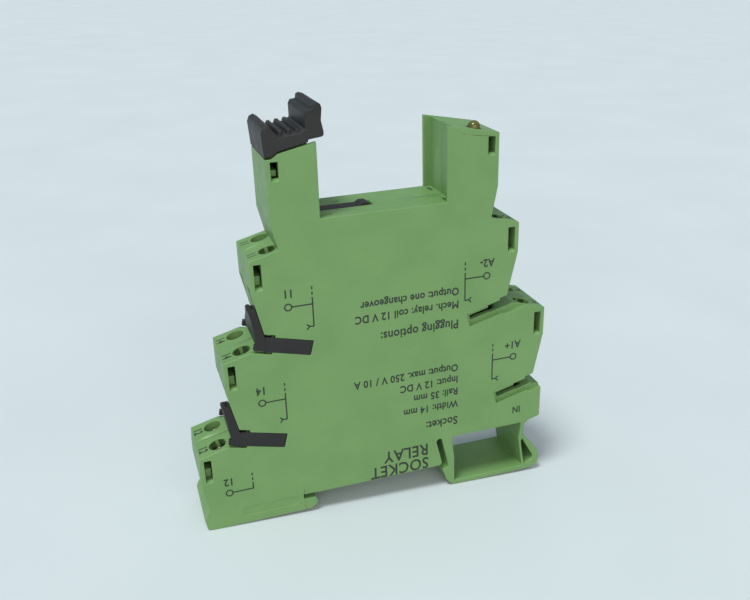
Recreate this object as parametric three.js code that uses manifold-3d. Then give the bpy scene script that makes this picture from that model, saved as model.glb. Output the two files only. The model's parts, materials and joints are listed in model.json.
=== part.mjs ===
// A 14 mm wide screw-terminal socket for a plug-in relay, for a 35 mm top-hat rail.
// Frame: +X towards the coil terminals and the rail latch, +Y from front side face to back side
// face, +Z up from the rail towards the relay bay. x = 0 and y = 0 are the middle of the
// housing, z = 0 is the underside of the latch foot. Millimetres.
import * as THREE from "three";
import { mergeVertices } from "three/addons/utils/BufferGeometryUtils.js";
import Module from "manifold-3d";

const wasm = await Module();
wasm.setup();

// ---- driving dimensions ----------------------------------------------------------------
const SIDE = 7.0; // half of the module's 14 mm thickness
const PARTING = 0.03; // half of the gap where the two shells meet
const CAVITY = 5.9; // half width of the hollow between the side walls
const TILT = THREE.MathUtils.degToRad(14.3); // lean of every terminal, and of the tier tops
const RISE = Math.tan(TILT);
const PLUG_TILT = THREE.MathUtils.degToRad(14.5); // lean of the bridge plug slots
const ROW = 3.9; // distance of each row of screws from the middle plane
const SCREW_INSET = 4.4; // screw axis inboard of its tier's outer face
const TIER_DROP = 7.0; // height of a tier's upright outer face
const DECK = 69.9; // top of the relay deck
const DECK_BOTTOM = 67.0;
const SEAT = 6.3; // the face that rests on the rail
const TOP = 92.4; // highest point of the lever
const BIG = 60; // longer than any cut needs
const MARK = 0.12; // depth of moulded marks in the side faces

// Outer top corner of each terminal tier: [x, z]. side is -1 on the left, +1 on the right.
const TIERS = [
  { name: "12", side: -1, x: -40.0, z: 20.7 },
  { name: "14", side: -1, x: -32.95, z: 41.75 },
  { name: "11", side: -1, x: -25.9, z: 62.8 },
  { name: "a1", side: 1, x: 39.8, z: 42.6 },
  { name: "a2", side: 1, x: 32.6, z: 63.6 },
];

const TOWER_LEFT = [-21.0, -10.95];
const TOWER_RIGHT = [15.95, 27.4];
const RECESS = 1.5; // depth of the relay guide in the towers' inner faces
const CHEEK = 1.0; // thickness of the guide's cheeks

// A terminal's parts, measured down the screw axis from the tier's top face.
const HEAD = { top: -1.6, bottom: -3.2, radius: 1.7 };
const SHANK = { bottom: -5.9, radius: 1.25 };
const CAGE = { top: -5.0, bottom: -10.2, reach: 2.2, half: 1.85, wall: 0.6, plate: 0.8 };
const TONGUE = { top: -6.1, bottom: -6.9, half: 1.0 };
const WIRE = -8.2; // middle of the wire's way in
const HOLE_RADIUS = 1.9;
const FUNNEL_FLATTEN = 0.78; // a wire funnel's width across, against its height
const BAR_END = -3.15; // where a busbar's cross piece lies, inboard of the cages
const BAR_HALF = 0.9; // half width of a busbar in the middle plane
const BAR_THICK = 0.4; // half thickness of a busbar
const FORK_Z = [61.85, 66.8];

// Bridge plug slots: [x, z] of the inner end's middle, and the side they open to.
const SLOTS = [
  { name: "lower", side: -1, x: -21.25, z: 21.28, length: 10.0 },
  { name: "upper", side: -1, x: -14.2, z: 42.2, length: 10.0 },
  { name: "lower", side: 1, x: 28.2, z: 21.45, length: 9.1 },
  { name: "upper", side: 1, x: 21.15, z: 42.35, length: 9.0 },
];
// half and thin are half heights, depth is into the side face, notch is [start, low, high],
// and the mouth is the wider stretch where the plug's two ears lock.
const SLOT = {
  half: 1.7, depth: 1.05, thin: 0.55, notch: [5.6, -0.7, 1.6],
  mouth: { start: 8.3, half: 2.15 },
};

const PIVOT = { x: -15.4, z: 68.6, radius: 1.0, end: 5.3, hub: 1.7 }; // the lever's axis, along y

// ---- solids ----------------------------------------------------------------------------
function solid(geometry) {
  const bare = geometry.clone();
  bare.deleteAttribute("normal");
  bare.deleteAttribute("uv");
  const merged = mergeVertices(bare, 1e-5);
  return new wasm.Manifold(new wasm.Mesh({
    numProp: 3,
    vertProperties: Float32Array.from(merged.attributes.position.array),
    triVerts: Uint32Array.from(merged.index.array),
  }));
}

function geometryOf(manifold) {
  const mesh = manifold.getMesh();
  const geometry = new THREE.BufferGeometry();
  geometry.setAttribute("position", new THREE.BufferAttribute(mesh.vertProperties, 3));
  geometry.setIndex(new THREE.BufferAttribute(mesh.triVerts, 1));
  geometry.computeVertexNormals();
  return geometry;
}

const join = (...parts) => parts.reduce((sum, part) => sum.add(part));
const cut = (body, ...tools) => tools.reduce((rest, tool) => rest.subtract(tool), body);

// A plate with an outline in x and z, between two values of y.
function plateGeometry(points, y0, y1) {
  const shape = new THREE.Shape(points.map(([x, z]) => new THREE.Vector2(x, z)));
  const settings = { depth: y1 - y0, bevelEnabled: false };
  const geometry = new THREE.ExtrudeGeometry(shape, settings);
  return geometry.rotateX(Math.PI / 2).translate(0, y1, 0);
}
const plate = (points, y0, y1) => solid(plateGeometry(points, y0, y1));

// A box given by its lowest and highest corner.
function block([x0, y0, z0], [x1, y1, z1]) {
  const geometry = new THREE.BoxGeometry(x1 - x0, y1 - y0, z1 - z0);
  return geometry.translate((x0 + x1) / 2, (y0 + y1) / 2, (z0 + z1) / 2);
}
const box = (low, high) => solid(block(low, high));

// A bar along x with an outline in y and z.
function profileX(points, x0, x1) {
  const shape = new THREE.Shape(points.map(([y, z]) => new THREE.Vector2(y, z)));
  const geometry = new THREE.ExtrudeGeometry(shape, { depth: x1 - x0, bevelEnabled: false });
  geometry.rotateX(Math.PI / 2).rotateZ(Math.PI / 2);
  return solid(geometry.translate(x0, 0, 0));
}

// A round bar along y.
function barY(x, z, radius, y0, y1, sides = 24) {
  const geometry = new THREE.CylinderGeometry(radius, radius, y1 - y0, sides);
  return solid(geometry.translate(x, (y0 + y1) / 2, z));
}

// A round bar along z.
function barZ(x, y, radius, z0, z1, sides = 24) {
  const geometry = new THREE.CylinderGeometry(radius, radius, z1 - z0, sides);
  return solid(geometry.rotateX(Math.PI / 2).translate(x, y, (z0 + z1) / 2));
}

// A body of revolution about z, from [radius, z] points that start and end on the axis.
function turned(points, sides) {
  const profile = points.map(([r, z]) => new THREE.Vector2(r, z));
  return solid(new THREE.LatheGeometry(profile, sides).rotateX(Math.PI / 2));
}

// ---- the leaning frame of a terminal ----------------------------------------------------
// Local x runs outboard along the wire, local z up along the screw.
function terminalMatrix(tier) {
  const turn = new THREE.Matrix4().makeRotationY(tier.side * TILT);
  const flip = new THREE.Matrix4().makeRotationZ(tier.side > 0 ? 0 : Math.PI);
  const x = tier.x - tier.side * SCREW_INSET;
  const place = new THREE.Matrix4().makeTranslation(x, 0, tier.z + SCREW_INSET * RISE);
  return place.multiply(turn).multiply(flip);
}

// The leaning frame of a bridge plug: local x runs outboard along the slot.
function slotMatrix(slot) {
  const turn = new THREE.Matrix4().makeRotationY(-slot.side * PLUG_TILT);
  const flip = new THREE.Matrix4().makeRotationZ(slot.side > 0 ? 0 : Math.PI);
  return new THREE.Matrix4().makeTranslation(slot.x, 0, slot.z).multiply(turn).multiply(flip);
}

function placed(manifold, matrix) {
  return manifold.transform(matrix.elements);
}

// ---- housing ---------------------------------------------------------------------------
const leftTier = ({ x, z }, [cornerX, cornerZ]) => [
  [x, z - TIER_DROP], [x, z], [cornerX, cornerZ],
];
const OUTLINE = [
  [-39.3, 2.4], [-40.0, 2.9], [-40.4, 5.1], [-39.9, 6.4], [-39.2, 7.2], [-39.75, 10.6],
  [-40.25, 15.0], [-40.2, 18.0], [-40.0, 20.7], [-30.37, 23.1],
  ...leftTier(TIERS[1], [-23.4, 44.2]),
  ...leftTier(TIERS[2], [-19.72, 64.4]),
  [-21.0, 70.0], [-21.0, 82.5], [-19.75, 82.6], [-18.6, 83.45], [-10.95, 85.1],
  [-10.95, DECK], [TOWER_RIGHT[0], DECK],
  [15.95, 85.55], [27.4, 83.35], [27.4, 72.2], [26.1, 65.25],
  [32.6, 63.6], [32.6, 56.9], [29.89, 45.13],
  [39.8, 42.6], [39.8, 36.0], [37.1, 23.3],
  [39.9, 22.6], [39.9, 14.4], [37.0, 13.6], [36.1, 12.75],
  [35.9, 11.7], [35.1, 11.7], [35.1, 13.35], [14.9, 13.35],
  [14.2, 13.5], [13.55, 12.9], [15.0, 6.9], [14.6, SEAT],
  [-15.3, SEAT], [-15.4, 6.45], [-18.3, 6.45], [-18.3, 5.2], [-15.6, 5.2],
  [-15.2, 4.2], [-15.3, 3.3], [-16.6, 2.4],
];
const HOLLOW = [
  [-37.3, 8.0], [-38.5, 15.4], [-38.6, 18.4], [-28.95, 20.85],
  [-31.5, 35.0], [-31.6, 39.4], [-21.95, 41.85],
  [-24.5, 56.0], [-24.5, 60.45], [-18.2, 62.05],
  [-19.6, 70.3], [-19.7, 81.2], [-13.6, 82.6], [-13.6, DECK_BOTTOM],
  [18.7, DECK_BOTTOM], [18.7, 83.4], [26.0, 82.0], [26.0, 72.3], [24.65, 62.9],
  [31.2, 61.2], [31.1, 57.2], [28.45, 42.8],
  [38.4, 40.25], [38.4, 36.3], [35.75, 23.5], [35.7, 21.9],
  [38.5, 21.2], [38.5, 15.9], [36.9, 15.1],
  [12.1, 15.1], [12.0, 12.4], [13.3, 8.0],
];

// Material kept inside the hollow: the pads behind the plug slots and the wire guides.
function innerBlocks() {
  const pads = SLOTS.map((slot) => {
    const y = CAVITY - 1.15;
    const pad = join(box([-1.2, -BIG, -2.9], [11, -y, 2.9]), box([-1.2, y, -2.9], [11, BIG, 2.9]));
    return placed(pad, slotMatrix(slot));
  });
  const guides = TIERS.map((tier) => {
    return placed(box([2.6, -BIG, -10.7], [6.0, BIG, -5.95]), terminalMatrix(tier));
  });
  const bosses = [-1, 1].map((s) => {
    const [y0, y1] = s < 0 ? [-6.2, -3.3] : [3.3, 6.2];
    return barY(PIVOT.x, PIVOT.z, 2.2, y0, y1);
  });
  return join(...pads, ...guides, ...bosses);
}

// One wire funnel, wide at the flank and narrow at the cage, and one screw hole.
function terminalCuts(row) {
  const funnel = new THREE.CylinderGeometry(1.85, 2.9, 4.2, 4, 1);
  funnel.rotateY(Math.PI / 4).rotateZ(Math.PI / 2).scale(1, FUNNEL_FLATTEN, 1);
  funnel.translate(4.5, row, WIRE);
  const throat = box([1.5, row - 1.1, WIRE - 1.25], [3.2, row + 1.1, WIRE + 1.25]);
  const well = barZ(0, row, HOLE_RADIUS, HEAD.bottom - 1, 6);
  const [near, far] = [0.38, 1.7]; // two pockets in the well's inner wall, with a rib between
  const inner = [row * 0.25, row * 0.7].sort((a, b) => a - b);
  const pockets = [-1, 1].map((side) => {
    const [x0, x1] = side < 0 ? [-far, -near] : [near, far];
    return box([x0, inner[0], HEAD.bottom - 1], [x1, inner[1], -0.3]);
  });
  return join(solid(funnel), throat, well, ...pockets);
}

function slotCuts(slot) {
  const [start, low, high] = SLOT.notch;
  const { half, depth, thin } = SLOT;
  const face = SIDE - depth;
  const shallow = join(
    box([0, -BIG, -half], [14, -face, half]),
    box([0, face, -half], [14, BIG, half]),
  );
  const slit = box([0.8, -BIG, -thin], [14, BIG, thin]);
  const notch = box([start, -BIG, low], [14, BIG, high]);
  const { mouth } = SLOT;
  const mouths = join(
    box([mouth.start, -BIG, -mouth.half], [14, -face, mouth.half]),
    box([mouth.start, face, -mouth.half], [14, BIG, mouth.half]),
  );
  const tools = join(shallow, slit, notch, mouths);
  return placed(tools, slotMatrix(slot));
}

// Snap windows in the front face: [outer x, side, lowest z, highest z].
const WINDOWS = [
  ...TIERS.map(({ x, z, side }) => [x, side, z - 5.8 - (side + 1) / 6, z - 0.8 - (side + 1) / 10]),
  [TOWER_LEFT[0], -1, 78.75, 82.0],
  [TOWER_RIGHT[1], 1, 79.2, 82.7],
];
const WINDOW_SPAN = [0.85, 2.4]; // inboard of the outer face
const HOOK_FRONT = { "-1": -5.2, 1: -4.2 }; // how far forward the hooks reach, on each side
const SILL = [0.5, 0.65]; // height and depth of the sloping sill under each window

function inboard(x, side, near, far) {
  const ends = [x - side * near, x - side * far];
  return [Math.min(...ends), Math.max(...ends)];
}

function windowCut([x, side, z0, z1]) {
  const [x0, x1] = inboard(x, side, ...WINDOW_SPAN);
  const [drop, depth] = SILL;
  const low = z0 - drop * 1.15;
  const slope = [[-SIDE - depth * 0.15, low], [depth - SIDE, z0], [depth - SIDE, z0 + 0.1],
    [-SIDE - 1, z0 + 0.1], [-SIDE - 1, low]];
  return join(box([x0, -BIG, z0], [x1, 0.3, z1]), profileX(slope, x0, x1));
}

function hook([x, side, z0, z1]) {
  const top = z0 + 0.42 * (z1 - z0);
  const [x0, x1] = inboard(x, side, WINDOW_SPAN[0] + 0.08, WINDOW_SPAN[1] - 0.08);
  const arm = box([x0, HOOK_FRONT[side], z0 + 0.06], [x1, 2.0, top]);
  const [r0, r1] = inboard(x, side, 0.4, WINDOW_SPAN[1] - 0.15);
  return join(arm, box([r0, PARTING, z0 + 0.15], [r1, 2.0, top]));
}

const RELAY_PINS = [
  { name: "11", x: -9.3, y: -4.5, along: "x" },
  { name: "14", x: -9.3, y: 4.5, along: "x" },
  { name: "12", x: -5.2, y: 3.2, along: "x" },
  { name: "a2", x: 16.6, y: -4.3, along: "y" },
  { name: "a1", x: 16.6, y: 4.3, along: "y" },
];
const PIN_SLOT = [1.3, 0.45]; // half length and half width

function deckCuts() {
  const slots = RELAY_PINS.map(({ name, x, y, along }) => {
    const [long, thin] = name === "12" ? [0.6, PIN_SLOT[1]] : PIN_SLOT;
    const [dx, dy] = along === "x" ? [long, thin] : [thin, long];
    return box([x - dx, y - dy, DECK_BOTTOM - 1], [x + dx, y + dy, DECK + 1]);
  });
  const channel = box([-14, -1.75, 68.4], [1.7, 1.75, DECK + 0.6]);
  const wallSlot = box([-14, -1.75, 68.4], [TOWER_LEFT[1] + 0.2, 1.75, 71.6]);
  const armSlot = box([-19.7, -2.6, 80], [-13.6, 2.6, 90]);
  return join(...slots, channel, wallSlot, armSlot);
}

// The relay guides: each tower's inner face is set back between two thin cheeks.
function guideCuts() {
  const inner = SIDE - CHEEK;
  const left = box([TOWER_LEFT[1] - RECESS, -inner, DECK], [TOWER_LEFT[1] + 1, inner, 90]);
  const right = box([TOWER_RIGHT[0] - 1, -inner, DECK], [TOWER_RIGHT[0] + RECESS, inner, 90]);
  return join(left, right);
}

// Two narrow slits up every upright outer face, on either side of the parting line.
const SLIT = { y: 1.6, half: 0.16, depth: 0.7 };

function slitCuts() {
  const rows = TIERS.map(({ x, z, side }) => [x, side, z - 5.6, z - 0.9]);
  rows.push([TOWER_LEFT[0], -1, 79.3, 84], [TOWER_RIGHT[1], 1, 79.3, 82.4]);
  const { y, half, depth } = SLIT;
  return join(...rows.flatMap(([x, side, z0, z1]) => {
    const [x0, x1] = inboard(x, side, -1, depth);
    return [-y, y].map((row) => box([x0, row - half, z0], [x1, row + half, z1]));
  }));
}

// Moulded marks: a long recess and a step on the hook's front face, a line beside the latch
// foot and a dot on the right tower, and ejector marks on the back face.
const RECESS_MARK = { x: [-31.0, -20.8], z: 5.45, half: 1.15 };
const STEP_MARK = [
  [-18.25, 8], [-18.25, 4.3], [-17.8, 2], [-17.65, 2], [-18.1, 4.3], [-18.1, 8],
];
const FOOT_MARK = [[12.65, 13.8], [12.75, 13.8], [13.65, 8.75], [13.55, 8.75]];
const DOT_MARK = [19.7, 83.55];
const EJECTORS = [[-30, 11], [-24, 31], [-16, 52], [0, 30], [0, 58], [27, 33], [21, 55], [33, 18]];

function marks() {
  const { x, z, half } = RECESS_MARK;
  const [front, back] = [MARK - SIDE, SIDE - MARK];
  const recess = join(box([x[0], -SIDE - 1, z - half], [x[1], front, z + half]),
    ...x.map((end) => barY(end, z, half, -SIDE - 1, front)));
  const lines = [STEP_MARK, FOOT_MARK].map((line) => plate(line, -SIDE - 1, front));
  const dot = barY(...DOT_MARK, 0.22, -SIDE - 1, front, 12);
  const pins = EJECTORS.map(([px, pz]) => {
    return cut(barY(px, pz, 2, back, SIDE + 1, 28), barY(px, pz, 1.8, back - 1, SIDE + 2, 28));
  });
  return [recess, ...lines, dot, ...pins];
}

const LED = { x: 22.8, y: -4.4, z: 84.25, radius: 1.5, lean: Math.atan(2.2 / 11.45) };
const ledMatrix = new THREE.Matrix4().makeTranslation(LED.x, LED.y, LED.z)
  .multiply(new THREE.Matrix4().makeRotationY(LED.lean));

function housing() {
  const outer = plate(OUTLINE, -SIDE, SIDE);
  const hollow = plate(HOLLOW, -CAVITY, CAVITY).subtract(innerBlocks());
  const pivot = barY(PIVOT.x, PIVOT.z, PIVOT.radius + 0.15, -5.5, 5.5);
  const terminals = TIERS.map((tier) => {
    return placed(join(terminalCuts(-ROW), terminalCuts(ROW)), terminalMatrix(tier));
  });
  const ledHole = placed(barZ(0, 0, LED.radius + 0.1, -5, 4), ledMatrix);
  return cut(outer, hollow, pivot, ...terminals, ...SLOTS.map(slotCuts), deckCuts(), guideCuts(),
    slitCuts(), ledHole, ...marks());
}

function frontShell(body) {
  const half = body.intersect(box([-BIG, -SIDE - 1, -1], [BIG, -PARTING, 100]));
  return cut(half, ...WINDOWS.map(windowCut));
}

function backShell(body) {
  const half = body.intersect(box([-BIG, PARTING, -1], [BIG, SIDE + 1, 100]));
  return join(half, ...WINDOWS.map(hook));
}

// ---- latch foot --------------------------------------------------------------------------
const FOOT = [
  [17.5, 0.4], [18.2, 0.1], [36.0, 0.0], [39.3, 0.4], [40.1, 1.4], [40.4, 3.0],
  [39.75, 5.1], [36.0, 9.9], [35.95, 11.4], [35.1, 11.4], [34.75, 8.75], [35.9, 1.25],
  [18.2, 1.25], [18.1, 8.0], [17.3, 13.05], [14.95, 13.05], [14.85, 12.6],
  [16.5, 6.4], [16.6, 5.25], [15.1, 5.1], [16.2, 1.75],
];
const FOOT_POCKET = [
  [35.4, 8.3], [35.8, 8.7], [38.75, 3.3], [38.3, 2.4], [36.9, 1.6], [36.45, 1.75], [35.85, 5.0],
];

function railFoot() {
  return cut(plate(FOOT, -SIDE, SIDE), plate(FOOT_POCKET, -SIDE - 1, SIDE - 1));
}

// ---- lever -------------------------------------------------------------------------------
const THUMB_RIDGES = [-17.3, -15.6, -13.9]; // their middles in x
const RIDGE_FRONT = -5.0; // where they end in y
const ARM_HALF = 2.2;
const LIFTER_HALF = 1.5;
const HANDLE = [
  [-21.1, 82.85], [-21.45, 87.5], [-21.05, 88.5], [-20.2, 88.9], [-19.4, 88.4],
  [-18.2, 86.55], [-14.1, 87.0], [-12.95, 87.7], [-12.95, 90.4], [-12.55, 91.1],
  [-11.4, 91.25], [-11.3, 92.1], [-10.7, TOP], [-9.75, 92.1], [-9.5, 91.3],
  [-9.75, 89.0], [-9.35, 87.0], [-9.35, 86.2], [-9.8, 85.9], [-12.35, 85.6],
  [-12.5, 85.1], [-18.5, 83.8], [-19.7, 82.95],
];
const ARM = [
  [-16.1, 86.0], [-14.1, 86.0], [-14.1, 69.4], [-15.4, 67.2], [-16.6, 68.6], [-16.3, 71],
];
const LIFTER = [
  [-15.6, 68.0], [-13.0, 68.75], [1.3, 68.75], [1.5, 69.6], [0.6, 70.4],
  [-0.7, 70.45], [-1.5, 69.9], [-13.6, 69.9], [-15.6, 70.1],
];

function retainingLever() {
  const side = SIDE - 0.1;
  const ridges = THUMB_RIDGES.map((x) => {
    const z = 86.6 + (x + 18.2) * 0.11; // the handle's floor between its two ends
    const arch = [[-0.6, -0.5], [-0.55, 0.15], [-0.3, 0.6], [0.3, 0.6], [0.55, 0.15], [0.6, -0.5]];
    return plate(arch.map(([dx, dz]) => [x + dx, z + dz]), RIDGE_FRONT, side);
  });
  const { x, z, radius, end, hub } = PIVOT;
  return join(
    plate(HANDLE, -side, side), ...ridges, plate(ARM, -ARM_HALF, ARM_HALF),
    barY(x, z, hub, -3.0, 3.0), barY(x, z, radius, -end, end),
    plate(LIFTER, -LIFTER_HALF, LIFTER_HALF),
  );
}

// ---- bridge plugs --------------------------------------------------------------------------
// Drawn for the lower slot; the upper plug is the same piece, moved.
const EAR = [
  [-30.65, 23.6], [-31.0, 25.3], [-32.42, 31.7], [-32.55, 32.4], [-32.9, 31.95], [-33.2, 32.1],
  [-33.45, 32.8], [-33.9, 33.25], [-34.25, 32.95], [-34.3, 32.2], [-33.85, 31.0],
  [-33.25, 27.8], [-32.75, 23.2], [-32.3, 22.95],
];
const EAR_SLOPE = [
  [-8, 33.9], [-7, 33.35], [-5.5, 32.3], [-3, 31.2], [0, 29.2], [4, 26.2], [7.5, 23.4],
  [7.5, 40], [-8, 40],
];
const PLUG_GAP = 0.12;
const PLUG_END = 10.2; // how far the blade runs out from the slot's inner end
const PLUG_SKIRT = [12.3, -0.3]; // the side plates' lower part runs on under the ear: [end, top]
const LOCKS = [[8.5, 9.1, 1], [9.3, 9.9, -1]]; // [from, to, up or down] of the two locking ears

function bridgePlug() {
  const { half, depth, thin, mouth } = SLOT;
  const [start, low, high] = SLOT.notch;
  const gap = PLUG_GAP;
  const inner = SIDE - depth + gap;
  const reach = mouth.half - gap;
  const locks = LOCKS.flatMap(([from, to, way]) => {
    const [z0, z1] = way > 0 ? [0, reach] : [-reach, 0];
    return [box([from, -SIDE, z0], [to, -inner, z1]), box([from, inner, z0], [to, SIDE, z1])];
  });
  const blade = join(
    box([0.2, -SIDE, gap - half], [PLUG_END, -inner, half - gap]),
    box([0.2, inner, gap - half], [PLUG_END, SIDE, half - gap]),
    box([PLUG_END - 1, -SIDE, gap - half], [PLUG_SKIRT[0], -inner, PLUG_SKIRT[1]]),
    box([PLUG_END - 1, inner, gap - half], [PLUG_SKIRT[0], SIDE, PLUG_SKIRT[1]]),
    box([1.1, -SIDE + 0.3, gap - thin], [PLUG_END, SIDE - 0.3, thin - gap]),
    box([start + gap, -SIDE + 0.2, low + gap], [PLUG_END + 0.9, SIDE - 0.2, high - gap]),
    ...locks,
  );
  const ear = cut(plate(EAR, -SIDE, SIDE), profileX(EAR_SLOPE, -40, -28));
  return join(placed(blade, slotMatrix(SLOTS[0])), ear);
}

// ---- terminals -----------------------------------------------------------------------------
function terminalScrew() {
  const { top, bottom, radius } = HEAD;
  const screw = turned([[0, SHANK.bottom], [SHANK.radius - 0.3, SHANK.bottom],
    [SHANK.radius, SHANK.bottom + 0.3], [SHANK.radius, bottom], [radius, bottom],
    [radius, top - 0.3], [radius - 0.3, top], [0, top]], 20);
  const long = box([-2, -0.3, top - 0.8], [2, 0.3, 0]);
  const short = box([-0.25, -0.9, top - 0.8], [0.25, 0.9, 0]);
  return cut(screw, long, short);
}

function clampCage() {
  const { top, bottom, reach, half, wall, plate: lid } = CAGE;
  return cut(
    box([-reach, -half, bottom], [reach, half, top]),
    box([-3, wall - half, bottom + 0.7], [3, half - wall, top - lid]),
    barZ(0, 0, SHANK.radius + 0.1, top - lid - 1, top + 1, 20),
  );
}

// A busbar: a tongue in each of a tier's two cages, a cross piece, and a strip to the relay pin.
const BUS_UP = { 12: -5.2, 14: -9.3, 11: -11.6, a1: 13.4, a2: 16.6 };

function busbar(tier) {
  const { top, bottom, half } = TONGUE;
  const leaning = terminalMatrix(tier);
  const tongues = [-ROW, ROW].map((y) => box([BAR_END, y - half, bottom], [1.8, y + half, top]));
  const cross = box([BAR_END - 0.45, -ROW - half, bottom], [BAR_END + 0.45, ROW + half, top]);
  const middle = new THREE.Vector3(BAR_END, 0, (top + bottom) / 2).applyMatrix4(leaning);
  const up = BUS_UP[tier.name];
  const pin = RELAY_PINS.find((entry) => entry.name === tier.name);
  const [x0, x1] = [Math.min(middle.x, up), Math.max(middle.x, up)];
  const t = BAR_THICK;
  const shelf = FORK_Z[0] - 0.05;
  const run = box([x0 - t, -BAR_HALF, middle.z - t], [x1 + t, BAR_HALF, middle.z + t]);
  const rise = box([up - t, -BAR_HALF, middle.z - t], [up + t, BAR_HALF, shelf]);
  const sideways = box([up - t, Math.min(pin.y - 0.5, -BAR_HALF), shelf - 0.8],
    [up + t, Math.max(pin.y + 0.5, BAR_HALF), shelf]);
  const across = box([Math.min(up, pin.x) - t, pin.y - 0.5, shelf - 0.8],
    [Math.max(up, pin.x) + t, pin.y + 0.5, shelf]);
  return join(placed(join(...tongues, cross), leaning), run, rise, sideways, across);
}

// A relay contact: two spring leaves that stand on a busbar under a slot in the deck.
function contactFork({ x, y, along }) {
  const [z0, z1] = FORK_Z;
  const u = [[-0.8, z0], [0.8, z0], [0.8, z1], [0.35, z1], [0.3, z0 + 0.6], [-0.3, z0 + 0.6],
    [-0.35, z1], [-0.8, z1]];
  const geometry = plateGeometry(u, -1.1, 1.1);
  if (along === "x") geometry.rotateZ(Math.PI / 2);
  return geometry.translate(x, y, 0);
}

// ---- indicator board ------------------------------------------------------------------------
const LENS = { radius: 1.4, height: 1.45, bottom: -3.4 };
const BOARD = { x0: 19.0, x1: 24.2, y0: -2.9, y1: -1.9, z0: 61.6, z1: 80.4 };

function ledLens() {
  const dome = [];
  for (let i = 0; i <= 6; i += 1) {
    const angle = (i / 6) * (Math.PI / 2);
    dome.push([LENS.radius * Math.cos(angle), LENS.height * Math.sin(angle)]);
  }
  dome[dome.length - 1][0] = 0;
  return turned([[0, LENS.bottom], [LENS.radius, LENS.bottom], ...dome], 20);
}

function freewheelDiode() {
  const [x, y] = [21.0, BOARD.y0 - 1.1];
  return join(barZ(x, y, 0.9, 70.4, 74.4, 16), barZ(x, y, 0.3, 69.2, 75.6, 8));
}

// ---- scene graph -----------------------------------------------------------------------------
const paint = (color, roughness, metalness = 0) => () => {
  return new THREE.MeshStandardMaterial({ color, roughness, metalness });
};
const green = paint(0x7aa062, 0.55);
const black = paint(0x2b2829, 0.5);
const nickel = paint(0xb9b4a6, 0.35, 1);
const brass = paint(0xb08d4c, 0.35, 1);
const amber = paint(0xd98a2b, 0.15);
const laminate = paint(0x2f6a3c, 0.6);
const epoxy = paint(0x1c1c1e, 0.5);
const beige = paint(0xcdb98a, 0.6);

const socket = new THREE.Group();

function add(name, shape, material, matrix) {
  const geometry = shape.isBufferGeometry ? shape : geometryOf(shape);
  const mesh = new THREE.Mesh(geometry, material());
  mesh.name = name;
  if (matrix) matrix.decompose(mesh.position, mesh.quaternion, mesh.scale);
  socket.add(mesh);
}

const body = housing();
add("front_shell", frontShell(body), green);
add("back_shell", backShell(body), green);
add("rail_foot", railFoot(), green);
add("retaining_lever", retainingLever(), black);

const plug = geometryOf(bridgePlug());
for (const slot of SLOTS.filter(({ side }) => side < 0)) {
  const move = new THREE.Matrix4().makeTranslation(slot.x - SLOTS[0].x, 0, slot.z - SLOTS[0].z);
  add(`bridge_plug_${slot.name}`, plug.clone(), black, move);
}

const screw = geometryOf(terminalScrew());
const cage = geometryOf(clampCage());
for (const tier of TIERS) {
  for (const [row, y] of [["front", -ROW], ["back", ROW]]) {
    const shift = new THREE.Matrix4().makeTranslation(0, y * tier.side, 0);
    const matrix = terminalMatrix(tier).multiply(shift);
    add(`terminal_screw_${tier.name}_${row}`, screw.clone(), nickel, matrix);
    add(`clamp_cage_${tier.name}_${row}`, cage.clone(), nickel, matrix);
  }
  add(`busbar_${tier.name}`, busbar(tier), brass);
}
for (const pin of RELAY_PINS) add(`relay_contact_${pin.name}`, contactFork(pin), brass);

add("led_lens", ledLens(), amber, ledMatrix);
const { x0, x1, y0, y1, z0, z1 } = BOARD;
add("circuit_board", block([x0, y0, z0], [x1, y1, z1]), laminate);
add("bridge_rectifier", block([19.5, -5.1, 63.8], [23.7, BOARD.y0 - 0.05, 68.2]), epoxy);
add("freewheel_diode", freewheelDiode(), epoxy);
add("led_resistor", block([22.4, -3.6, 70.8], [23.8, BOARD.y0 - 0.05, 74.0]), beige);

export default socket;
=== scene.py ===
import json
import math

import bmesh
import bpy
from mathutils import Matrix, Vector


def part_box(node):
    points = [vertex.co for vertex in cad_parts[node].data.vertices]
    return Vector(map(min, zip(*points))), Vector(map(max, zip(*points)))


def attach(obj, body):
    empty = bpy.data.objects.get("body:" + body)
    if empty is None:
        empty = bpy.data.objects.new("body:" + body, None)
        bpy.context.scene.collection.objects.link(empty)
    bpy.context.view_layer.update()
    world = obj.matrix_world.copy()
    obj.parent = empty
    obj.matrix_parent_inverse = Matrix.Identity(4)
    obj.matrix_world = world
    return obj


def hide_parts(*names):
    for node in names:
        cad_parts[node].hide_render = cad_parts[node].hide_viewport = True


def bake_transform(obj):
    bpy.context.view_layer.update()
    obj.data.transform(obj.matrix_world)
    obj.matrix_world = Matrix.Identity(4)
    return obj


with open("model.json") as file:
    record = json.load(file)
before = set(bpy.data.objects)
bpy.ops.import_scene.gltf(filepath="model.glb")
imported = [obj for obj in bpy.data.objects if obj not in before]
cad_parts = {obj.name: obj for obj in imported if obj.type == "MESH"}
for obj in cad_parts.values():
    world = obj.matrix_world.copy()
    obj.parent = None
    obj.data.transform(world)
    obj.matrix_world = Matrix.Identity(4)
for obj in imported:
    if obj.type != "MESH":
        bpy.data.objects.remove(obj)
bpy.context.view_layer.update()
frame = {"nodes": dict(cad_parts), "record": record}

# A slim green relay socket for a 35 mm rail. Lengths are written in millimetres and turned
# into metres with MM, in the frame of the CAD model: +X coil side, +Y back face, +Z up.
MM = 0.001
NODES = frame["nodes"]
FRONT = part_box("front_shell")[0].y / MM
FLAT_ANGLE = math.radians(0.5)  # faces that meet at less than this are one flat face
WELD_DISTANCE = 1e-6


def point(x, y, z):
    return Vector((x, y, z)) * MM


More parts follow.
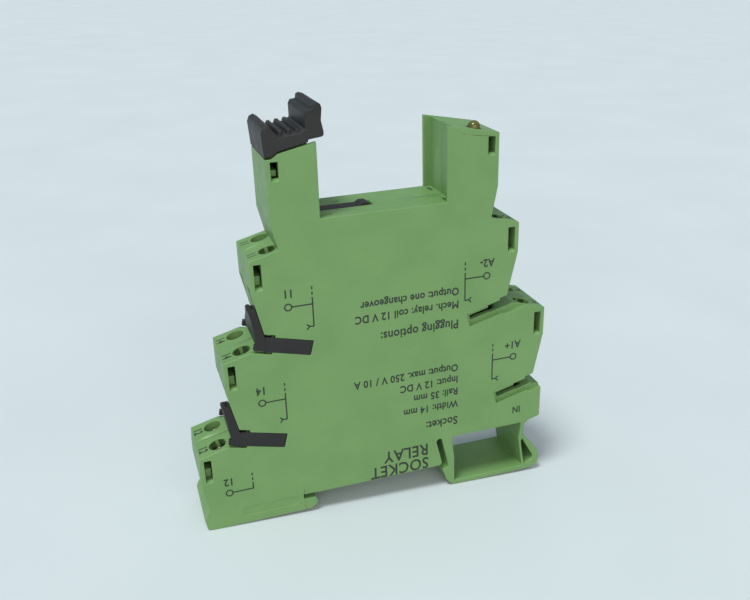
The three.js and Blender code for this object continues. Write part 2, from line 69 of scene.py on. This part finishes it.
# ---- camera -------------------------------------------------------------------------------
CAMERA_AT = point(-49.85, -162.59, 120.54)
CAMERA_AZIMUTH, CAMERA_ELEVATION, CAMERA_ROLL = -17.682, 23.132, -1.787
LENS, SENSOR = 40.846, 36.0


def make_camera():
    azimuth = math.radians(CAMERA_AZIMUTH)
    elevation = math.radians(CAMERA_ELEVATION)
    roll = math.radians(CAMERA_ROLL)
    back = Vector((
        math.sin(azimuth) * math.cos(elevation),
        -math.cos(azimuth) * math.cos(elevation),
        math.sin(elevation),
    ))
    right = Vector((0, 0, 1)).cross(back).normalized()
    up = back.cross(right)
    rolled_right = right * math.cos(roll) + up * math.sin(roll)
    rolled_up = up * math.cos(roll) - right * math.sin(roll)
    turn = Matrix((rolled_right, rolled_up, back)).transposed().to_4x4()
    data = bpy.data.cameras.new("camera")
    data.lens = LENS
    data.sensor_width = SENSOR
    data.clip_start = 0.005
    data.clip_end = 20
    camera = bpy.data.objects.new("camera", data)
    camera.matrix_world = Matrix.Translation(CAMERA_AT) @ turn
    bpy.context.scene.collection.objects.link(camera)
    bpy.context.scene.camera = camera


make_camera()


# ---- materials ------------------------------------------------------------------------------
class Shader:
    """A node material under construction, with a Principled shader at its end."""

    def __init__(self, name):
        self.material = bpy.data.materials.new(name)
        self.material.use_nodes = True
        self.tree = self.material.node_tree
        self.surface = self.tree.nodes["Principled BSDF"]
        self.place = self.node("ShaderNodeTexCoord").outputs["Object"]

    def node(self, kind, **settings):
        made = self.tree.nodes.new(kind)
        for name, value in settings.items():
            setattr(made, name, value)
        return made

    def link(self, source, target):
        self.tree.links.new(source, target)

    def set(self, **values):
        for name, value in values.items():
            self.surface.inputs[name.replace("_", " ")].default_value = value

    def noise(self, size, detail=2.0, stretch=(1, 1, 1)):
        """Noise from 0 to 1 whose features are about size millimetres across."""
        mapping = self.node("ShaderNodeMapping")
        mapping.inputs["Scale"].default_value = [value / (size * MM) for value in stretch]
        self.link(self.place, mapping.inputs["Vector"])
        texture = self.node("ShaderNodeTexNoise")
        texture.inputs["Scale"].default_value = 1.0
        texture.inputs["Detail"].default_value = detail
        self.link(mapping.outputs["Vector"], texture.inputs["Vector"])
        return texture.outputs["Fac"]

    def ramp(self, source, *stops):
        """Colours or greys at positions along source."""
        made = self.node("ShaderNodeValToRGB")
        elements = made.color_ramp.elements
        while len(elements) < len(stops):
            elements.new(0.5)
        for element, (position, value) in zip(elements, stops):
            element.position = position
            grey = isinstance(value, (int, float))
            element.color = (value, value, value, 1) if grey else (*value, 1)
        self.link(source, made.inputs["Fac"])
        return made.outputs["Color"]

    def blend(self, kind, factor, first, second):
        """Mixes two colours; factor, first and second are sockets or values."""
        made = self.node("ShaderNodeMix", data_type="RGBA", blend_type=kind)
        for socket, value in zip((0, 6, 7), (factor, first, second)):
            if isinstance(value, bpy.types.NodeSocket):
                self.link(value, made.inputs[socket])
            elif socket == 0:
                made.inputs[socket].default_value = value
            else:
                made.inputs[socket].default_value = (*value, 1)
        return made.outputs[2]

    def edges(self, radius):
        """1 on edges whose rounding is about radius millimetres, 0 on flat ground."""
        rounded = self.node("ShaderNodeBevel", samples=4)
        rounded.inputs["Radius"].default_value = radius * MM
        flat = self.node("ShaderNodeNewGeometry")
        dot = self.node("ShaderNodeVectorMath", operation="DOT_PRODUCT")
        self.link(rounded.outputs["Normal"], dot.inputs[0])
        self.link(flat.outputs["Normal"], dot.inputs[1])
        return self.ramp(dot.outputs["Value"], (0.75, 1.0), (0.97, 0.0))

    def colour(self, source):
        self.link(source, self.surface.inputs["Base Color"])

    def roughness(self, source):
        self.link(source, self.surface.inputs["Roughness"])

    def bump(self, *layers):
        """Adds height layers, each (source, height in millimetres)."""
        last = None
        for source, height in layers:
            made = self.node("ShaderNodeBump")
            made.inputs["Distance"].default_value = height * MM
            self.link(source, made.inputs["Height"])
            if last:
                self.link(last, made.inputs["Normal"])
            last = made.outputs["Normal"]
        self.link(last, self.surface.inputs["Normal"])


def plastic(name, dark, light, worn_and_lit, shine):
    """Moulded plastic: cloudy colour, a fine grain, faint flow marks and lighter edges, partly wear and
    partly a painted highlight where the rounded edges catch the light.
    """
    shader = Shader(name)
    clouds = shader.noise(9.0, 3.0)
    specks = shader.noise(0.35, 1.0)
    flow = shader.noise(2.2, 2.0, stretch=(0.25, 1, 1))
    base = shader.ramp(clouds, (0.35, dark), (0.65, light))
    base = shader.blend("MULTIPLY", 0.5, base, shader.ramp(specks, (0.3, 0.9), (0.6, 1.0)))
    # Painted highlight: the edge mask lightens the colour on rounded edges, standing in for edges that
    # catch the light as well as for wear.
    base = shader.blend("MIX", shader.ramp(shader.edges(0.25), (0.0, 0.0), (1.0, 0.45)), base, worn_and_lit)
    shader.colour(base)
    shader.roughness(shader.ramp(flow, (0.3, shine - 0.05), (0.7, shine + 0.06)))
    shader.bump((flow, 0.006), (specks, 0.004))
    shader.set(IOR=1.46)
    return shader.material


def metal(name, dark, light, shine):
    """Plated metal with drawn marks and a little tarnish."""
    shader = Shader(name)
    drawn = shader.noise(0.5, 2.0, stretch=(1, 1, 0.15))
    tarnish = shader.noise(1.4, 3.0)
    shader.colour(shader.ramp(tarnish, (0.35, dark), (0.62, light)))
    shader.roughness(shader.ramp(drawn, (0.3, shine - 0.06), (0.7, shine + 0.1)))
    shader.bump((drawn, 0.004))
    shader.set(Metallic=1.0)
    return shader.material


# The third colour of each plastic is its edge colour: edge wear plus a painted highlight on the rounded
# edges.
GREEN_DARK, GREEN_LIGHT, GREEN_WORN_AND_LIT = (0.145, 0.280, 0.092), (0.166, 0.304, 0.104), (0.25, 0.42, 0.17)
BLACK_DARK, BLACK_LIGHT, BLACK_WORN_AND_LIT = (0.010, 0.009, 0.009), (0.017, 0.015, 0.015), (0.032, 0.03, 0.03)
GREEN = plastic("green_plastic", GREEN_DARK, GREEN_LIGHT, GREEN_WORN_AND_LIT, 0.46)
BLACK = plastic("black_plastic", BLACK_DARK, BLACK_LIGHT, BLACK_WORN_AND_LIT, 0.52)
STEEL = metal("plated_steel", (0.38, 0.34, 0.25), (0.58, 0.55, 0.47), 0.34)
BRASS = metal("contact_brass", (0.48, 0.34, 0.13), (0.62, 0.48, 0.22), 0.32)


def amber_lens():
    shader = Shader("amber_lens")
    swirl = shader.noise(1.1, 2.0)
    shader.colour(shader.ramp(swirl, (0.35, (0.072, 0.070, 0.010)), (0.65, (0.13, 0.125, 0.018))))
    shader.roughness(shader.ramp(swirl, (0.3, 0.08), (0.7, 0.16)))
    shader.bump((swirl, 0.004))
    shader.set(IOR=1.52, Transmission_Weight=0.12)
    return shader.material


def board_laminate():
    shader = Shader("board_laminate")
    weave = shader.noise(0.4, 1.0, stretch=(1, 1, 0.4))
    shader.colour(shader.ramp(weave, (0.3, (0.02, 0.10, 0.035)), (0.7, (0.035, 0.15, 0.055))))
    shader.roughness(shader.ramp(weave, (0.3, 0.3), (0.7, 0.42)))
    shader.bump((weave, 0.01))
    return shader.material


def flat_body(name, dark, light, shine, grain):
    shader = Shader(name)
    mottle = shader.noise(grain, 2.0)
    shader.colour(shader.ramp(mottle, (0.3, dark), (0.7, light)))
    shader.roughness(shader.ramp(mottle, (0.3, shine - 0.05), (0.7, shine + 0.05)))
    shader.bump((mottle, 0.006))
    return shader.material


MATERIALS = {
    "green_plastic": GREEN,
    "black_plastic": BLACK,
    "plated_steel": STEEL,
    "contact_brass": BRASS,
    "amber_lens": amber_lens(),
    "board_laminate": board_laminate(),
    "component_epoxy": flat_body("component_epoxy", (0.01, 0.01, 0.011), (0.02, 0.02, 0.021), 0.4, 0.4),
    "resistor_body": flat_body("resistor_body", (0.45, 0.34, 0.16), (0.6, 0.47, 0.25), 0.4, 0.5),
}
INK = flat_body("print_ink", (0.012, 0.02, 0.012), (0.024, 0.034, 0.022), 0.55, 0.3)


# ---- mesh helpers ---------------------------------------------------------------------------
def new_object(name, mesh_data, material, body):
    """A finished piece from a bmesh, in the part frame, riding on a body."""
    bmesh.ops.recalc_face_normals(mesh_data, faces=mesh_data.faces)
    mesh = bpy.data.meshes.new(name)
    mesh_data.to_mesh(mesh)
    mesh_data.free()
    piece = bpy.data.objects.new(name, mesh)
    bpy.context.scene.collection.objects.link(piece)
    mesh.materials.append(material)
    if body:
        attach(piece, body)
    return piece


def prism(shape, outline, low, high, place=Matrix.Identity(4)):
    """Adds a closed prism to a bmesh: outline is (u, v) in millimetres, low and high along w."""
    rings = []
    for w in (low, high):
        rings.append([shape.verts.new(place @ point(u, v, w)) for u, v in outline])
    count = len(outline)
    for i in range(count):
        j = (i + 1) % count
        shape.faces.new((rings[0][i], rings[0][j], rings[1][j], rings[1][i]))
    shape.faces.new(rings[0][::-1])
    shape.faces.new(rings[1])


def edge_marks(width, least_angle, parting):
    """Geometry nodes that shade a mesh smooth and weigh its sharp edges for rounding.

    Edges of thin walls and shallow marks get a smaller weight, so their roundings don't meet.
    Edges nearer than parting to the middle plane, where two shells meet, stay sharp.
    """
    tree = bpy.data.node_groups.new("edge_marks", "GeometryNodeTree")
    tree.interface.new_socket("Geometry", in_out="INPUT", socket_type="NodeSocketGeometry")
    tree.interface.new_socket("Geometry", in_out="OUTPUT", socket_type="NodeSocketGeometry")

    def node(kind, **settings):
        made = tree.nodes.new(kind)
        for name, value in settings.items():
            setattr(made, name, value)
        return made

    def math_node(operation, first, second, clamp=False):
        made = node("ShaderNodeMath", operation=operation, use_clamp=clamp)
        for socket, value in zip(made.inputs, (first, second)):
            if isinstance(value, bpy.types.NodeSocket):
                tree.links.new(value, socket)
            else:
                socket.default_value = value
        return made.outputs[0]

    angle = node("GeometryNodeInputMeshEdgeAngle").outputs["Unsigned Angle"]
    area = node("GeometryNodeInputMeshFaceArea").outputs["Area"]
    per_area = node("GeometryNodeFieldOnDomain", domain="FACE", data_type="FLOAT")
    tree.links.new(math_node("DIVIDE", 1.0, area), per_area.inputs[0])
    ends = node("GeometryNodeInputMeshEdgeVertices")
    length = node("ShaderNodeVectorMath", operation="DISTANCE")
    tree.links.new(ends.outputs["Position 1"], length.inputs[0])
    tree.links.new(ends.outputs["Position 2"], length.inputs[1])
    crowding = math_node("MULTIPLY", length.outputs["Value"], per_area.outputs[0])
    thickness = math_node("DIVIDE", 0.5, crowding)
    room = math_node("DIVIDE", thickness, 2.5 * width * MM, clamp=True)
    sharp = math_node("GREATER_THAN", angle, math.radians(least_angle))
    place = node("ShaderNodeSeparateXYZ")
    tree.links.new(node("GeometryNodeInputPosition").outputs[0], place.inputs[0])
    aside = math_node("GREATER_THAN", math_node("ABSOLUTE", place.outputs["Y"], 0.0), parting * MM)
    weight = math_node("MULTIPLY", math_node("MULTIPLY", sharp, aside), room)
    kept = math_node("SUBTRACT", sharp, aside, clamp=True)

    smooth = node("GeometryNodeSetShadeSmooth")
    tree.links.new(node("NodeGroupInput").outputs[0], smooth.inputs["Geometry"])
    last = smooth.outputs["Geometry"]
    for name, kind, value in (("bevel_weight_edge", "FLOAT", weight), ("sharp_edge", "BOOLEAN", kept)):
        store = node("GeometryNodeStoreNamedAttribute", domain="EDGE", data_type=kind)
        store.inputs["Name"].default_value = name
        tree.links.new(value, store.inputs["Value"])
        tree.links.new(last, store.inputs["Geometry"])
        last = store.outputs["Geometry"]
    tree.links.new(last, node("NodeGroupOutput").inputs[0])
    return tree


def clear_flats(piece):
    """Welds the corners that the CAD mesh splits and cuts its flat faces into even triangles."""
    weld = piece.modifiers.new("weld", "WELD")
    weld.merge_threshold = WELD_DISTANCE
    flat = piece.modifiers.new("flat", "DECIMATE")
    flat.decimate_type = "DISSOLVE"
    flat.angle_limit = FLAT_ANGLE
    triangles = piece.modifiers.new("triangles", "TRIANGULATE")
    triangles.quad_method = "BEAUTY"
    triangles.ngon_method = "BEAUTY"


def round_edges(piece, width, parting=-1.0, segments=3, least_angle=28):
    """Rounds the sharp edges and keeps the flat faces' shading flat."""
    marks = piece.modifiers.new("marks", "NODES")
    marks.node_group = edge_marks(width, least_angle, parting)
    bevel = piece.modifiers.new("bevel", "BEVEL")
    bevel.width = width * MM
    bevel.segments = segments
    bevel.limit_method = "WEIGHT"
    bevel.use_clamp_overlap = False
    bevel.miter_outer = "MITER_ARC"
    bevel.face_strength_mode = "FSTR_ALL"
    normals = piece.modifiers.new("normals", "WEIGHTED_NORMAL")
    normals.keep_sharp = True
    normals.use_face_influence = True
    normals.weight = 50


# ---- carried-over CAD nodes -------------------------------------------------------------------
SLOT_OF = {row["node"]: row["material_slot"] for row in frame["record"]["subparts"]}
EDGE_RADIUS = {"green_plastic": 0.16, "black_plastic": 0.2, "plated_steel": 0.07, "contact_brass": 0.07}
PARTING = {"front_shell": 0.1, "back_shell": 0.1}


def finish_cad_nodes():
    for name, node in NODES.items():
        slot = SLOT_OF[name]
        node.data.materials.clear()
        node.data.materials.append(MATERIALS[slot])
        clear_flats(node)
        round_edges(node, EDGE_RADIUS.get(slot, 0.06), PARTING.get(name, -1.0))


finish_cad_nodes()


# ---- latch foot ---------------------------------------------------------------------------------
WALL_TOPS = (12.4, 11.0)        # heights above which the foot's left and right walls end
WALL_RISE = 0.9                 # how far the walls run on into the housing
BEND = (13.2, 6.0)              # heights between which the walls bend
BEND_STEP = 0.6
FIRST_CUT = 6.1                 # just above the level where the bending starts
FOOT_NARROWING = 0.9995         # keeps the foot's faces off the housing's own


def make_latch_foot():
    """The latch foot, one moulding with the housing: its two walls run up into it and are cut across at
    several heights.
    """
    shape = bmesh.new()
    shape.from_mesh(NODES["rail_foot"].data)
    bmesh.ops.remove_doubles(shape, verts=shape.verts, dist=WELD_DISTANCE)
    bmesh.ops.dissolve_limit(shape, angle_limit=FLAT_ANGLE, verts=shape.verts, edges=shape.edges)
    low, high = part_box("rail_foot")
    middle = (low.x + high.x) / 2
    for vertex in shape.verts:
        if vertex.co.z / MM > WALL_TOPS[vertex.co.x > middle]:
            vertex.co.z += WALL_RISE * MM
        vertex.co.y *= FOOT_NARROWING
    steps = int((BEND[0] - BEND[1]) / BEND_STEP)
    for step in range(steps + 1):
        parts = [*shape.verts, *shape.edges, *shape.faces]
        cut = point(0, 0, FIRST_CUT + step * BEND_STEP)
        bmesh.ops.bisect_plane(shape, geom=parts, plane_co=cut, plane_no=(0, 0, 1))
    foot = new_object("latch_foot_moulding", shape, GREEN, None)
    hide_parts("rail_foot")
    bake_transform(foot)
    round_edges(foot, EDGE_RADIUS["green_plastic"])


make_latch_foot()


# ---- laps between the two shells ------------------------------------------------------------
# Thin tongues in the parting gap of the right-hand outer walls, as (x, z) outlines.
LAPS = [
    [(25.25, 66.0), (26.09, 66.0), (27.22, 72.2), (27.2, 81.6), (26.15, 81.6), (26.15, 72.3)],
    [(31.35, 60.5), (32.45, 60.5), (32.45, 56.95), (30.3, 47.6), (29.5, 47.6), (31.25, 57.2)],
    [(38.55, 39.8), (39.65, 39.8), (39.65, 36.05), (37.3, 25.0), (36.2, 25.0), (38.55, 36.25)],
    [(38.65, 21.0), (39.75, 21.0), (39.75, 16.0), (38.65, 16.0)],
]
LAP_HALF = 0.02
MIDDLE_PLANE = Matrix(((1, 0, 0, 0), (0, 0, -1, 0), (0, 1, 0, 0), (0, 0, 0, 1)))


def make_laps():
    shape = bmesh.new()
    for outline in LAPS:
        prism(shape, outline, -LAP_HALF, LAP_HALF, MIDDLE_PLANE)
    new_object("parting_laps", shape, GREEN, "housing")


make_laps()


# ---- stage -------------------------------------------------------------------------------------
LEFT_CORNER = (-39.3, 2.4)      # the two lines that the socket stands on, in x and z
RIGHT_CORNER = (18.2, 0.1)
FLOOR_CENTRE = (-8.0, -30.0)
FLOOR_GAP = 0.02                # between the socket and the floor
FLOOR_RINGS = (60.0, 200.0, 700.0, 4000.0)
FLOOR_DARK, FLOOR_LIGHT = (0.60, 0.635, 0.665), (0.625, 0.66, 0.69)


def floor_material():
    """Plain pale card with a faint mottle and grain."""
    shader = Shader("floor")
    shader.colour(shader.ramp(shader.noise(60.0, 2.0), (0.3, FLOOR_DARK), (0.7, FLOOR_LIGHT)))
    shader.bump((shader.noise(0.8, 3.0), 0.02))
    shader.set(Roughness=0.75)
    return shader.material


def make_floor():
    """A wide round floor, tilted so that the socket stands on both of its lower edges."""
    shape = bmesh.new()
    sides = 64
    rings = []
    for radius in FLOOR_RINGS:
        ring = []
        for i in range(sides):
            angle = 2 * math.pi * i / sides
            ring.append(shape.verts.new(point(radius * math.cos(angle), radius * math.sin(angle), 0)))
        rings.append(ring)
    shape.faces.new(rings[0])
    for inner, outer in zip(rings, rings[1:]):
        for i in range(sides):
            j = (i + 1) % sides
            shape.faces.new((inner[i], outer[i], outer[j], inner[j]))
    floor = new_object("floor", shape, floor_material(), None)
    slope = (RIGHT_CORNER[1] - LEFT_CORNER[1]) / (RIGHT_CORNER[0] - LEFT_CORNER[0])
    height = LEFT_CORNER[1] + slope * (FLOOR_CENTRE[0] - LEFT_CORNER[0]) - FLOOR_GAP
    turn = Matrix.Rotation(-math.atan(slope), 4, "Y")
    floor.matrix_world = Matrix.Translation(point(*FLOOR_CENTRE, height)) @ turn


def soft_light(name, direction, softness, strength, colour):
    """A distant studio light that comes from direction; softness is its width in degrees."""
    data = bpy.data.lights.new(name, "SUN")
    data.angle = math.radians(softness)
    data.energy = strength
    data.color = colour
    light = bpy.data.objects.new(name, data)
    light.matrix_world = Vector(direction).to_track_quat("Z", "Y").to_matrix().to_4x4()
    bpy.context.scene.collection.objects.link(light)


def make_lights():
    """One soft key from above, two weak fills and a pale room around them."""
    soft_light("key", (-4.7, -2.9, 15.2), 16, 2.1, (0.92, 1.0, 0.97))
    soft_light("front_fill", (-0.2, -0.95, 0.3), 70, 1.7, (1.0, 0.93, 0.86))
    soft_light("left_fill", (-0.9, -0.1, 0.4), 70, 0.12, (0.75, 0.90, 1.0))
    world = bpy.data.worlds.new("room")
    world.use_nodes = True
    background = world.node_tree.nodes["Background"]
    background.inputs["Color"].default_value = (0.76, 0.90, 1.0, 1)
    background.inputs["Strength"].default_value = 0.42
    bpy.context.scene.world = world
    bpy.context.scene.view_settings.view_transform = "Standard"


make_floor()
make_lights()


# ---- printing ------------------------------------------------------------------------------------
# Prisms are given as (u, v, w): on the front face u is +X, v is +Z and w is out of the face.
FACE_PLANE = Matrix(((1, 0, 0, 0), (0, 0, -1, FRONT * MM), (0, 1, 0, 0), (0, 0, 0, 1)))
INK_LIFT = 0.012                # how far the print stands proud
STROKE = 0.3                    # width of the printed lines
BOLD = 0.075                    # how far the letters' outlines are let out
RING_RADIUS = 0.72
DASH, DASH_PITCH = 0.7, 1.2       # the broken part of a terminal's upright line
FORK_ROOT = (0.9, 0.1)          # from the foot of that line to where the fork's tines start
FORK_TIP = (1.5, 0.6)           # from the foot of that line to the tines' tips
TIER_ANGLE = math.radians(14.3)

# Terminal marks: words, their middle, the circle's middle, the x of the upright line and its
# two ends in z, and the side that the small contact fork at its foot points to.
TERMINAL_MARKS = [
    ("11", (-18.6, 55.0), (-18.7, 52.1), -13.6, (56.0, 47.1), -1),
    ("14", (-25.8, 34.2), (-25.7, 31.4), -20.7, (35.2, 26.5), -1),
    ("12", (-34.5, 13.7), (-34.5, 11.0), -29.3, (15.0, 10.9), 0),
    ("A2-", (25.2, 55.3), (25.3, 52.35), 20.2, (56.2, 47.3), 1),
    ("A1+", (32.3, 34.5), (32.4, 31.5), 27.2, (35.6, 26.6), 1),
]
MARK_SIZE = 2.5
DIGIT_PITCH = 1.2
MARK_RISE = 0.85                # from a mark's given height to its baseline
WORD_RISE = 0.75
LETTER_WIDTH, LETTER_SPACING = 0.86, 1.06
# Words on the front face, read with the socket upside down: text, height, start x, z.
WORDS = [
    ("Output: one changeover", 2.45, 18.8, 49.9),
    ("Mech. relay: coil 12 V DC", 2.45, 18.8, 46.8),
    ("Plugging options:", 2.9, 18.8, 42.3),
    ("Output: max. 250 V / 10 A", 2.45, 18.8, 31.4),
    ("Input: 12 V DC", 2.45, 18.8, 28.4),
    ("Rail: 35 mm", 2.45, 18.8, 25.4),
    ("Width: 14 mm", 2.45, 18.8, 22.2),
    ("Socket:", 2.9, 18.8, 18.0),
    ("RELAY", 4.2, 11.6, 12.2),
    ("SOCKET", 4.2, 11.6, 8.6),
    ("IN", 2.3, 34.8, 17.3),
]
# Digits on the sloping tops: words, side, and the top's outer edge in x and z.
TOP_MARKS = [
    ("12", -1, -40.0, 20.7),
    ("14", -1, -32.95, 41.75),
    ("11", -1, -25.9, 62.8),
    ("A1", 1, 39.8, 42.6),
    ("A2", 1, 32.6, 63.6),
]
TOP_MARK_SIZE = 2.65
TOP_MARK_INSET = 0.4            # from the outer edge to the foot of the digits
SCREW_ROW = 3.9                 # of the screws, from the middle plane


def text_frame(reading, up, place):
    """A matrix whose x runs along reading and whose y points up, starting at place."""
    across = Vector(reading).cross(Vector(up))
    turn = Matrix((reading, up, across)).transposed().to_4x4()
    return Matrix.Translation(place) @ turn


def front_frame(x, z):
    """The frame of upside-down words on the front face."""
    return text_frame((-1, 0, 0), (0, 0, -1), point(x, FRONT, z))


def top_frame(side, x, z, y):
    """The frame of digits on a sloping top, whose heads point inboard."""
    up = Vector((-side * math.cos(TIER_ANGLE), 0, math.sin(TIER_ANGLE)))
    foot = Vector((x, y, z)) + up * TOP_MARK_INSET
    return text_frame((0, side, 0), up, point(*foot))


def add_text(shape, words, size, place, centred=False):
    """Adds words as thin closed letters standing INK_LIFT proud of the frame's plane."""
    curve = bpy.data.curves.new("words", "FONT")
    curve.body = words
    curve.size = size * MM
    curve.extrude = BOLD * MM
    curve.bevel_depth = BOLD * MM
    curve.bevel_resolution = 0
    curve.resolution_u = 3
    curve.space_character = LETTER_SPACING
    if centred:
        curve.align_x = "CENTER"
    letters = bpy.data.objects.new("words", curve)
    bpy.context.scene.collection.objects.link(letters)
    bpy.context.view_layer.update()
    mesh = letters.to_mesh()
    mesh.transform(place @ Matrix.Diagonal((LETTER_WIDTH, 1, INK_LIFT / BOLD / 2, 1)))
    shape.from_mesh(mesh)
    letters.to_mesh_clear()
    bpy.data.objects.remove(letters)
    bpy.data.curves.remove(curve)


def add_stroke(shape, start, end):
    """A straight printed line on the front face between two (x, z) points."""
    a, b = Vector(start), Vector(end)
    side = (b - a).orthogonal().normalized() * STROKE / 2
    outline = [(p.x, p.y) for p in (a - side, b - side, b + side, a + side)]
    prism(shape, outline, 0, INK_LIFT, FACE_PLANE)


def add_ring(shape, centre, sides=28):
    """A printed circle on the front face."""
    corners = []
    for i in range(sides):
        angle = 2 * math.pi * i / sides
        row = []
        for radius in (RING_RADIUS - STROKE / 2, RING_RADIUS + STROKE / 2):
            u = centre[0] + radius * math.cos(angle)
            v = centre[1] + radius * math.sin(angle)
            row += [shape.verts.new(FACE_PLANE @ point(u, v, w)) for w in (0, INK_LIFT)]
        corners.append(row)
    for i in range(sides):
        a, b = corners[i], corners[(i + 1) % sides]
        for p, q in ((0, 1), (1, 3), (3, 2), (2, 0)):
            shape.faces.new((a[p], b[p], b[q], a[q]))


def add_terminal_symbol(shape, ring, line_x, top, foot, fork):
    """A terminal's circle, the broken line beside it and the contact fork at the line's foot."""
    add_ring(shape, ring)
    toward = math.copysign(RING_RADIUS, line_x - ring[0])
    add_stroke(shape, (ring[0] + toward, ring[1]), (line_x, ring[1]))
    for dash_top in (top, top - DASH_PITCH):
        add_stroke(shape, (line_x, dash_top), (line_x, dash_top - DASH))
    add_stroke(shape, (line_x, top - 2 * DASH_PITCH), (line_x, foot))
    if fork:
        root = (line_x + FORK_ROOT[0] * fork, foot + FORK_ROOT[1])
        add_stroke(shape, (line_x, foot), root)
        for rise in (-FORK_TIP[1], FORK_TIP[1]):
            add_stroke(shape, root, (line_x + FORK_TIP[0] * fork, foot + rise))


def print_front():
    shape = bmesh.new()
    for words, (tx, tz), ring, line_x, (top, foot), fork in TERMINAL_MARKS:
        width = DIGIT_PITCH * len(words)
        add_text(shape, words, MARK_SIZE, front_frame(tx + width / 2, tz + MARK_RISE))
        add_terminal_symbol(shape, ring, line_x, top, foot, fork)
    for words, size, x, z in WORDS:
        add_text(shape, words, size, front_frame(x, z + WORD_RISE))
    new_object("front_print", shape, INK, "housing")


def print_tops():
    shape = bmesh.new()
    for words, side, x, z in TOP_MARKS:
        for y in (-SCREW_ROW, SCREW_ROW):
            add_text(shape, words, TOP_MARK_SIZE, top_frame(side, x, z, y), centred=True)
    new_object("top_print", shape, INK, "housing")


print_front()
print_tops()
